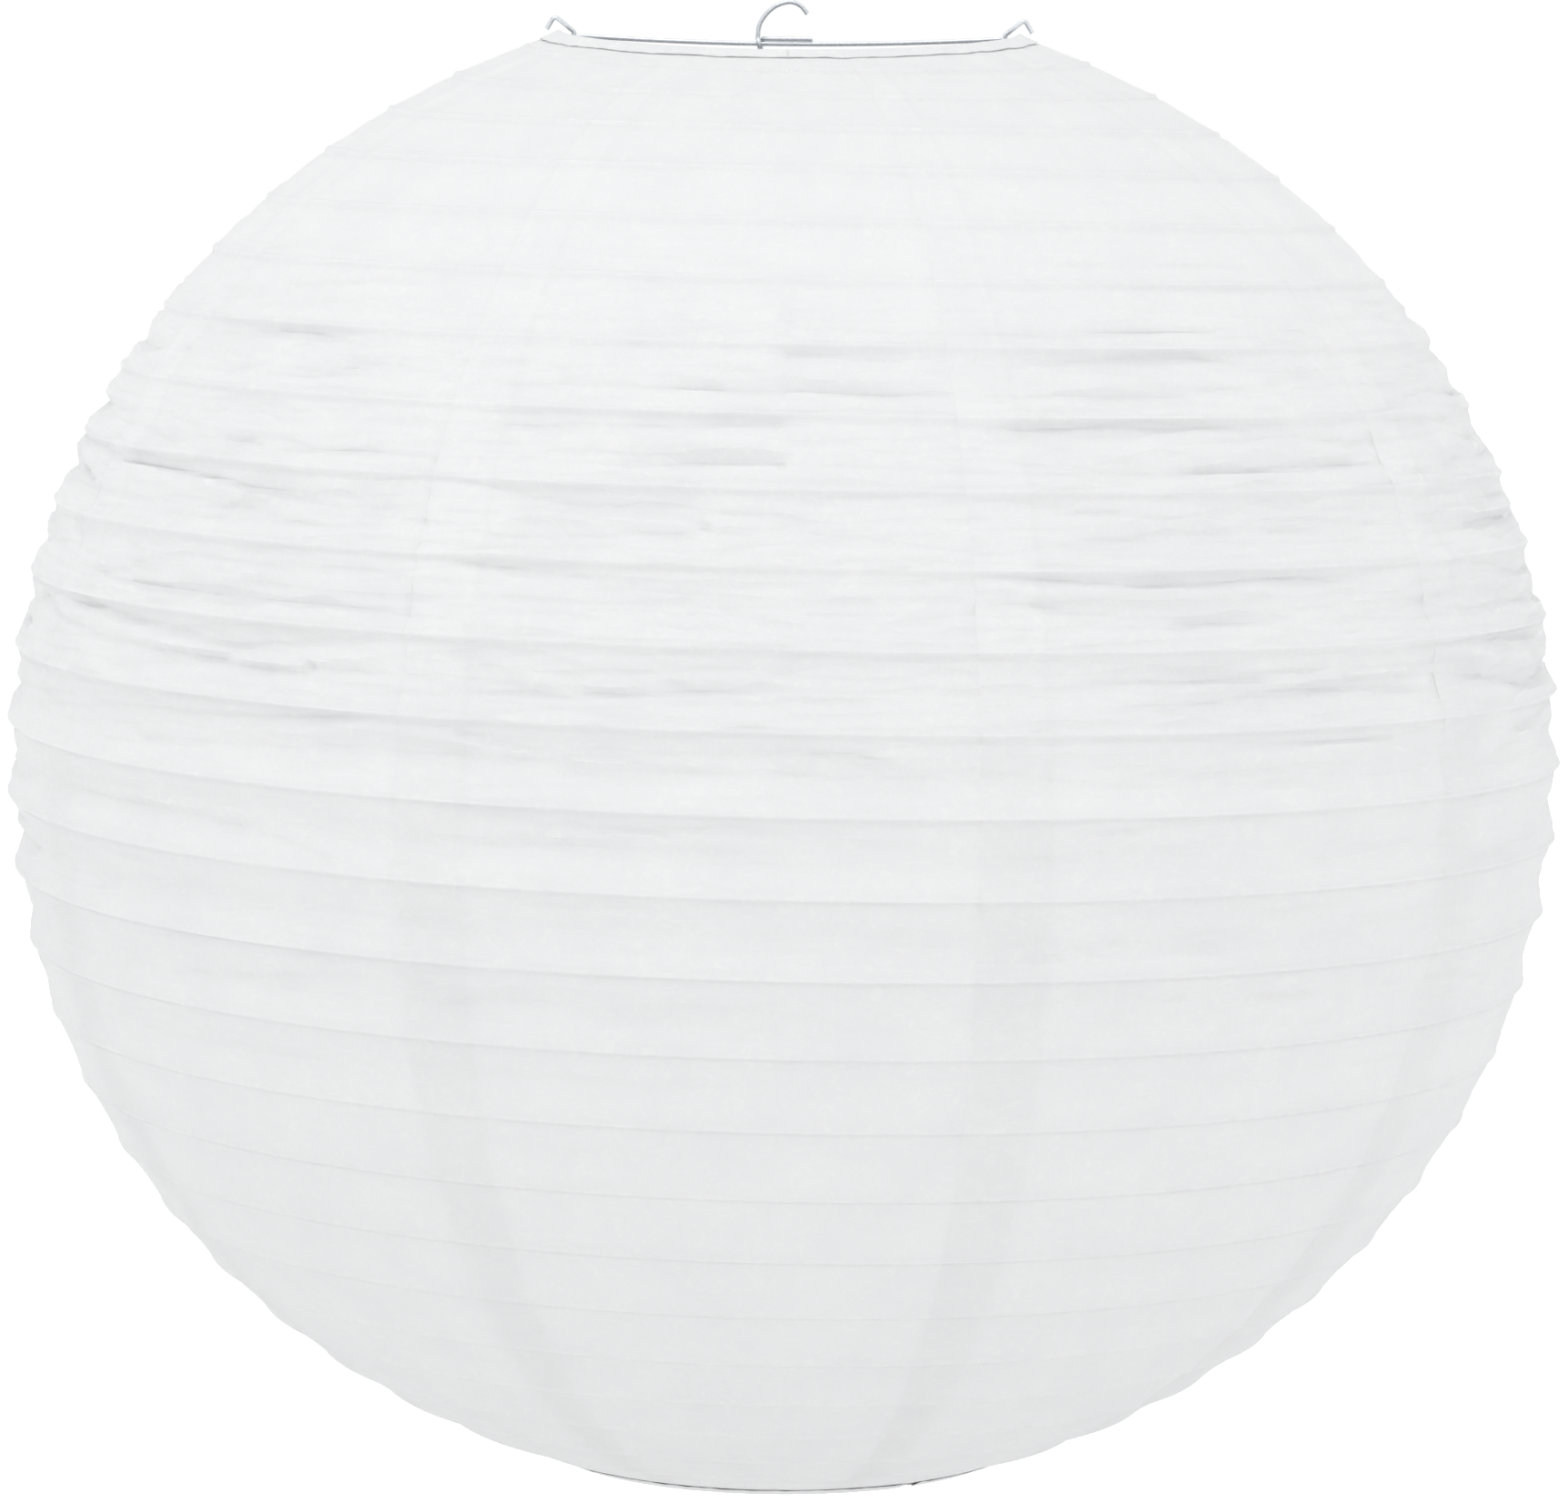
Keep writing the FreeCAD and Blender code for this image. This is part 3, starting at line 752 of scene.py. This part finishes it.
def thicken(piece):
    # give the sheet its thickness, inwards
    wall = piece.modifiers.new("paperWall", "SOLIDIFY")
    wall.thickness = shade["paper"]
    wall.offset = -1
    wall.use_rim = True
    bpy.context.view_layer.update()
    graph = bpy.context.evaluated_depsgraph_get()
    mesh = bpy.data.meshes.new_from_object(
        piece.evaluated_get(graph), preserve_all_data_layers=True, depsgraph=graph)
    piece.modifiers.clear()
    old = piece.data
    piece.data = mesh
    bpy.data.meshes.remove(old)
    mesh.name = piece.name
    mesh.shade_smooth()
    mesh.set_sharp_from_angle(angle=math.radians(50))  # crisp cut edges


gorePieces = makeGores()
print("gores made", [len(p.data.polygons) for p in gorePieces][:2])


# hems
hem = {
    "leg": 0.0072, "innerLegShare": 0.85, "ring": 0.0013, "edge": 0.00052, "under": 0.00045,
    "flatWidth": 0.0175, "steps": 540, "legSteps": 8, "turnSteps": 10,
    "pleats": 190, "waves": 90, "ripple": 0.00012, "ragged": 0.0007, "window": 33.5, "windowWidth": 0.0065,
}


def hemSection():
    # the strip's closed outline: along the gores, and away from them
    wall = shade["paper"]
    inner = []
    for i in range(hem["legSteps"]):
        share = i / hem["legSteps"]
        inner.append((hem["leg"] * (1 - share), hem["edge"] + (hem["ring"] - hem["edge"]) * share ** 1.4))
    for i in range(hem["turnSteps"] + 1):
        angle = math.pi / 2 + math.pi * i / hem["turnSteps"]
        inner.append((hem["ring"] * math.cos(angle), hem["ring"] * math.sin(angle)))
    for i in range(1, hem["legSteps"] + 1):
        share = i / hem["legSteps"]
        drop = hem["under"] + (hem["ring"] - hem["under"]) * (1 - share) ** 1.4
        inner.append((hem["leg"] * share * hem["innerLegShare"], -drop))
    inner = np.array(inner)
    along = np.gradient(inner, axis=0)
    along /= np.linalg.norm(along, axis=1)[:, None]
    outer = inner + np.stack([along[:, 1], -along[:, 0]], axis=1) * -wall
    if np.mean(np.hypot(outer[:, 0], outer[:, 1])) < np.mean(np.hypot(inner[:, 0], inner[:, 1])):
        outer = inner + np.stack([along[:, 1], -along[:, 0]], axis=1) * wall
    return np.concatenate([outer, inner[::-1]])


def makeHem(name, atTop, seed):
    # a strip folded round the ring, its outer leg lying on the gores
    section = hemSection()
    edge = 0.0 if atTop else arcLength
    radius, z, outR, outZ = profileAt(np.array([edge]))
    radius, z, outR, outZ = float(radius[0]), float(z[0]), float(outR[0]), float(outZ[0])
    side = 1 if atTop else -1
    downR, downZ = side * outZ, -side * outR
    steps = hem["steps"]
    closed = atTop
    if closed:
        azimuths = np.arange(steps) * 360 / steps
    else:
        half = math.degrees(hem["windowWidth"] / radius) / 2
        azimuths = np.linspace(hem["window"] + half, hem["window"] + 360 - half, steps)
    points = []
    count = len(section)
    ripple = softNoise(azimuths / 360 * hem["pleats"], np.zeros_like(azimuths), hem["pleats"], seed)
    ragged = softNoise(azimuths / 360 * hem["waves"], np.full_like(azimuths, 3.0), hem["waves"], seed + 1)
    for column, azimuth in enumerate(azimuths):
        angle = math.radians(azimuth)
        legShare = np.clip(section[:, 0] / hem["leg"], 0, 1)
        u = section[:, 0] + legShare * hem["ragged"] * ragged[column]
        v = section[:, 1] + np.sign(section[:, 1]) * (hem["ripple"] * ripple[column] * (0.3 + legShare))
        r = radius + downR * u + outR * v
        h = z + downZ * u + outZ * v + (sagAt(0.0, azimuth) if atTop else 0.0)
        points.append(np.stack([r * math.sin(angle), -r * math.cos(angle), h], axis=1))
    points = np.array(points)
    faces = []
    last = steps if closed else steps - 1
    for i in range(last):
        nextI = (i + 1) % steps
        for j in range(count):
            nextJ = (j + 1) % count
            faces.append((i * count + j, nextI * count + j, nextI * count + nextJ, i * count + nextJ))
    if not closed:
        faces.append(tuple(range(count)))
        faces.append(tuple(reversed(range((steps - 1) * count, steps * count))))
    piece = meshObject(name, points.reshape(-1, 3), faces)
    fixNormals(piece)
    layFlat(piece, azimuths, section, count)
    piece.data.materials.append(hemPaper)
    return piece


def fixNormals(piece):
    work = bmesh.new()
    work.from_mesh(piece.data)
    bmesh.ops.recalc_face_normals(work, faces=work.faces)
    work.to_mesh(piece.data)
    work.free()
    piece.data.shade_smooth()


def layFlat(piece, azimuths, section, count):
    # a map in metres: round the strip and across it
    run = np.concatenate([[0], np.cumsum(np.hypot(*np.diff(section, axis=0).T))])
    layer = piece.data.uv_layers.new(name="UVMap")
    corners = np.zeros(len(piece.data.loops), dtype=np.int32)
    piece.data.loops.foreach_get("vertex_index", corners)
    across = run[corners % count]
    around = np.radians(azimuths[corners // count]) * rimRadius
    layer.data.foreach_set("uv", np.stack([around, across], axis=1).astype(np.float32).ravel())
    keepShare(piece.data, "slack", np.full(len(piece.data.vertices), 0.5))
    keepShare(piece.data, "tone", np.ones(len(piece.data.vertices)))


topHem = makeHem("topHem", True, 401)
bottomHem = makeHem("bottomHem", False, 402)
print("hems made")


# wires
def wireTree():
    tree = Tree("bentWire", "GeometryNodeTree",
                [("Geometry", "NodeSocketGeometry"), ("Path", "NodeSocketObject"),
                 ("Diameter", "NodeSocketFloat"), ("Sides", "NodeSocketInt"), ("Capped", "NodeSocketBool"),
                 ("Material", "NodeSocketMaterial")],
                [("Geometry", "NodeSocketGeometry")])
    given = tree.entry.outputs
    line = tree.add("GeometryNodeObjectInfo", {"transform_space": "ORIGINAL"})
    tree.feed(line.inputs["Object"], given["Path"])
    circle = tree.add("GeometryNodeCurvePrimitiveCircle")
    tree.feed(circle.inputs["Resolution"], given["Sides"])
    tree.feed(circle.inputs["Radius"], tree.math("MULTIPLY", given["Diameter"], 0.5))
    swept = tree.add("GeometryNodeCurveToMesh")
    tree.feed(swept.inputs["Curve"], line.outputs["Geometry"])
    tree.feed(swept.inputs["Profile Curve"], circle.outputs["Curve"])
    tree.feed(swept.inputs["Fill Caps"], given["Capped"])
    rounded = tree.add("GeometryNodeSetShadeSmooth")
    tree.feed(rounded.inputs["Geometry"], swept.outputs["Mesh"])
    return finishTree(tree, rounded.outputs[0])


wireShape = wireTree()


def makeWire(name, points, diameter, sides, material, closed=False):
    path = pathObject("path", points, closed)
    host = meshObject("wireHost", [(0, 0, 0)], [], smooth=False)
    modifier = host.modifiers.new("bentWire", "NODES")
    modifier.node_group = wireShape
    values = {"Path": path, "Diameter": diameter, "Sides": sides, "Capped": not closed, "Material": material}
    for label, value in values.items():
        setInput(modifier, label, value)
    piece = bakeToMesh(host, name)
    dropPath(path)
    return piece


spiral = {"diameter": 0.001, "depth": 0.00135, "start": 0.011, "stepsPerTurn": 150, "sides": 7}


def makeSpiral():
    first = spiral["start"] / pitch * 360
    last = (arcLength - spiral["start"]) / pitch * 360
    count = int((last - first) / 360 * spiral["stepsPerTurn"])
    turn = np.linspace(first, last, count)
    points = pointsOn(pitch * turn / 360, shade["spiralStart"] + turn, -spiral["depth"])
    return makeWire("spiralWire", points, spiral["diameter"], spiral["sides"], ribSteel)


spiralWire = makeSpiral()
print("spiral made")

wireFrame = {
    "diameter": 0.0018, "inset": 0.006, "bow": 0.0025, "drop": 0.0005, "gap": 0.0003, "bend": 0.0015,
    "hookRise": 0.0162, "hookSide": 0.0127, "tail": 0.009, "tailLength": 0.018, "wrapGap": 0.00012,
    "kinkInset": 0.0018,
    "sides": 20, "eyeTurns": 1.75, "eyeStep": 1.04, "eyePoints": 60, "barPoints": 40,
}
legLine = rimRadius - wireFrame["inset"]
barMiddleZ = wireFrame["diameter"] / 2 - wireFrame["hookRise"]
barEndZ = barMiddleZ + wireFrame["bow"]


def smoothPath(points, perSpan=14):
    # a rounded line through points
    points = np.array(points, float)
    padded = np.concatenate([[2 * points[0] - points[1]], points, [2 * points[-1] - points[-2]]])
    line = []
    for i in range(1, len(padded) - 2):
        a, b, c, d = padded[i - 1:i + 3]
        for t in np.linspace(0, 1, perSpan, endpoint=False):
            square = (2 * a - 5 * b + 4 * c - d) * t ** 2
            cube = (3 * b - a - 3 * c + d) * t ** 3
            line.append(0.5 * ((2 * b) + (c - a) * t + square + cube))
    line.append(points[-1])
    return np.array(line)


def roundedPath(points, bend, perBend=9):
    # straight runs with bends of one radius
    points = [Vector(p) for p in points]
    line = [points[0]]
    for i in range(1, len(points) - 1):
        back = (points[i - 1] - points[i]).normalized()
        ahead = (points[i + 1] - points[i]).normalized()
        opening = back.angle(ahead)
        reach = bend / math.tan(opening / 2)
        first = points[i] + back * reach
        second = points[i] + ahead * reach
        centre = points[i] + (back + ahead).normalized() * (bend / math.sin(opening / 2))
        for step in range(perBend + 1):
            arm = (first - centre).lerp(second - centre, step / perBend).normalized() * bend
            line.append(centre + arm)
    line.append(points[-1])
    return np.array([tuple(p) for p in line])


def makeCrossbar():
    coil = wireFrame["diameter"] + wireFrame["gap"]
    turns = wireFrame["eyeTurns"]
    last = wireFrame["eyePoints"]
    drop = wireFrame["diameter"] * wireFrame["eyeStep"] * turns
    points = []
    for i in range(last + 1):  # left eye, wound upwards into the bar
        angle = math.tau * turns * (i / last - 1)
        rise = -drop * (1 - i / last)
        points.append((-legLine + coil * math.sin(angle), coil * math.cos(angle), barEndZ + rise))
    end = legLine - coil
    for i in range(1, wireFrame["barPoints"]):
        x = -end + 2 * end * i / wireFrame["barPoints"]
        share = 1 - (x / end) ** 2
        sway = coil * (abs(x) / end) ** 8
        points.append((x, sway if x < 0 else -sway, barEndZ - wireFrame["bow"] * share))
    for i in range(last + 1):  # right eye, wound downwards
        angle = math.tau * turns * i / last + math.pi
        rise = -drop * i / last
        points.append((legLine + coil * math.sin(angle), coil * math.cos(angle), barEndZ + rise))
    return makeWire("crossBar", points, wireFrame["diameter"], wireFrame["sides"], frameSteel)


def barZ(x):
    end = legLine - wireFrame["diameter"] - wireFrame["gap"]
    return barMiddleZ + wireFrame["bow"] * (x / end) ** 2


def makeHook():
    wrap = wireFrame["diameter"] + wireFrame["wrapGap"]
    side = wireFrame["hookSide"]
    top = barMiddleZ + wireFrame["hookRise"]
    step = wireFrame["tailLength"] / 8
    points = [(wireFrame["tail"] - step * i, 0.0, barZ(0.004) + wrap) for i in range(8)]
    for i in range(25):  # once round the bar
        angle = math.tau * i / 24
        x = -0.0103 - 0.0021 * i / 24
        points.append((x, wrap * math.sin(angle), barZ(side) + wrap * math.cos(angle)))
    bend = [
        points[-1], (-0.0119, 0, top - 0.0092), (-0.0096, 0, top - 0.0051), (-0.0062, 0, top - 0.0019),
        (-0.0023, 0, top - 0.0002), (0.0010, 0, top + 0.0001), (0.0045, 0, top - 0.0014),
        (0.0070, 0, top - 0.0044),
    ]
    points += [tuple(p) for p in smoothPath(bend)[1:]]
    return makeWire("hangingHook", points, wireFrame["diameter"], wireFrame["sides"], frameSteel)


def makeLeg(name, side):
    kink = rimRadius - wireFrame["kinkInset"] - shade["paper"] - wireFrame["diameter"] / 2
    spots = [
        (legLine - 0.0012, bottomRingZ - 0.006), (legLine + 0.0003, bottomRingZ - 0.0025),
        (kink, bottomRingZ + 0.003), (legLine, bottomRingZ + 0.010), (legLine, topRingZ - 0.0136),
        (rimRadius + 0.0025, topRingZ - 0.0046), (legLine, barEndZ - 0.0021), (legLine, topRingZ + 0.0012),
        (rimRadius + 0.0017, topRingZ + 0.0072), (rimRadius + 0.0047, topRingZ + 0.0020),
    ]
    points = roundedPath([(side * x, 0, z) for x, z in spots], wireFrame["bend"])
    return makeWire(name, points, wireFrame["diameter"], wireFrame["sides"], frameSteel)


crossBar = makeCrossbar()
hangingHook = makeHook()
leftLeg = makeLeg("leftLeg", -1)
rightLeg = makeLeg("rightLeg", 1)


ring = {"diameter": 0.002, "sides": 12, "steps": 240}


def ringWire(name, z, sagShare):
    angle = np.linspace(0, math.tau, ring["steps"], endpoint=False)
    height = z + sagShare * sagAt(0.0, np.degrees(angle))
    points = np.stack([rimRadius * np.sin(angle), -rimRadius * np.cos(angle), height], axis=1)
    return makeWire(name, points, ring["diameter"], ring["sides"], ribSteel, closed=True)


topRimWire = ringWire("topRimWire", topRingZ, 1.0)
bottomRimWire = ringWire("bottomRimWire", bottomRingZ, 0.0)
print("wires made")


# what moves with what
for number, piece in enumerate(gorePieces):
    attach(piece, "top_and_frame")
    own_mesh(piece)
    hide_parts("gore_" + str(number + 1))
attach(spiralWire, "top_and_frame")
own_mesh(spiralWire)
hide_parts(*turnNodes)
for piece, body, node, slot in (
    (topHem, "top_and_frame", "top_hem", "hem_paper"),
    (bottomHem, "bottom_rim", "bottom_hem", "hem_paper"),
    (topRimWire, "top_and_frame", "top_rim_wire", "rib_wire"),
    (bottomRimWire, "bottom_rim", "bottom_rim_wire", "rib_wire"),
    (crossBar, "top_and_frame", "crossbar", "frame_wire"),
    (hangingHook, "top_and_frame", "hanging_hook", "frame_wire"),
    (leftLeg, "leg_left", "left_leg", "frame_wire"),
    (rightLeg, "leg_right", "right_leg", "frame_wire"),
):
    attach(piece, body)
    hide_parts(node)
for piece, height in (  # each gets its own mesh data
    (topHem, topRingZ), (topRimWire, topRingZ), (bottomHem, bottomRingZ), (bottomRimWire, bottomRingZ),
):
    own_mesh(piece)

# floor and light
stage = {
    "floorDrop": 0.95, "floorSize": 60.0, "floorTone": 0.86,
    "glowStart": 2.2, "glowEnd": 4.2, "floorGlow": 0.85,
    "skyLow": 1.0, "skyHigh": 1.15, "keyPower": 8.5, "keySize": 1.2, "key": (-0.35, -0.9, 2.2),
}


def floorMaterial():
    # pale floor that brightens into the white backdrop away from the lantern
    pale = bpy.data.materials.new("paleFloor")
    pale.use_nodes = True
    nodes = pale.node_tree.nodes
    links = pale.node_tree.links
    shader = nodes["Principled BSDF"]
    tone = stage["floorTone"]
    shader.inputs["Base Color"].default_value = (tone, tone, tone, 1)
    shader.inputs["Roughness"].default_value = 0.9
    shader.inputs["Emission Strength"].default_value = stage["floorGlow"]
    coords = nodes.new("ShaderNodeTexCoord")
    flat = nodes.new("ShaderNodeVectorMath")
    flat.operation = "MULTIPLY"
    flat.inputs[1].default_value = (1, 1, 0)
    links.new(coords.outputs["Object"], flat.inputs[0])
    away = nodes.new("ShaderNodeVectorMath")
    away.operation = "LENGTH"
    links.new(flat.outputs[0], away.inputs[0])
    glow = nodes.new("ShaderNodeMapRange")
    glow.interpolation_type = "SMOOTHSTEP"
    glow.inputs["From Min"].default_value = stage["glowStart"]
    glow.inputs["From Max"].default_value = stage["glowEnd"]
    links.new(away.outputs["Value"], glow.inputs["Value"])
    links.new(glow.outputs["Result"], shader.inputs["Emission Color"])
    return pale


def makeWorld():
    # white studio, a little brighter overhead
    world = bpy.data.worlds.new("studio")
    world.use_nodes = True
    nodes = world.node_tree.nodes
    links = world.node_tree.links
    background = nodes["Background"]
    background.inputs["Color"].default_value = (1, 1, 1, 1)
    coords = nodes.new("ShaderNodeTexCoord")
    split = nodes.new("ShaderNodeSeparateXYZ")
    links.new(coords.outputs["Generated"], split.inputs[0])
    rise = nodes.new("ShaderNodeMapRange")
    rise.inputs["From Min"].default_value = 0.1
    rise.inputs["From Max"].default_value = 0.9
    rise.inputs["To Min"].default_value = stage["skyLow"]
    rise.inputs["To Max"].default_value = stage["skyHigh"]
    links.new(split.outputs["Z"], rise.inputs["Value"])
    links.new(rise.outputs["Result"], background.inputs["Strength"])
    bpy.context.scene.world = world


def softBox(name, place, target, size, power):
    lamp = bpy.data.lights.new(name, "AREA")
    lamp.shape = "DISK"
    lamp.size = size
    lamp.energy = power
    holder = bpy.data.objects.new(name, lamp)
    bpy.context.scene.collection.objects.link(holder)
    holder.location = place
    aim = (Vector(target) - Vector(place)).to_track_quat("-Z", "Y")
    holder.rotation_euler = aim.to_euler()


def makeStage():
    half = stage["floorSize"] / 2
    z = bottomRingZ - stage["floorDrop"]
    corners = [(-half, -half, z), (half, -half, z), (half, half, z), (-half, half, z)]
    floor = meshObject("floor", corners, [(0, 1, 2, 3)], smooth=False)
    floor.data.materials.append(floorMaterial())
    makeWorld()
    middle = Vector((0, 0, equatorZ))
    softBox("topLight", middle + Vector(stage["key"]), middle, stage["keySize"], stage["keyPower"])
    bpy.context.scene.view_settings.view_transform = "Standard"


makeStage()
print("stage made")
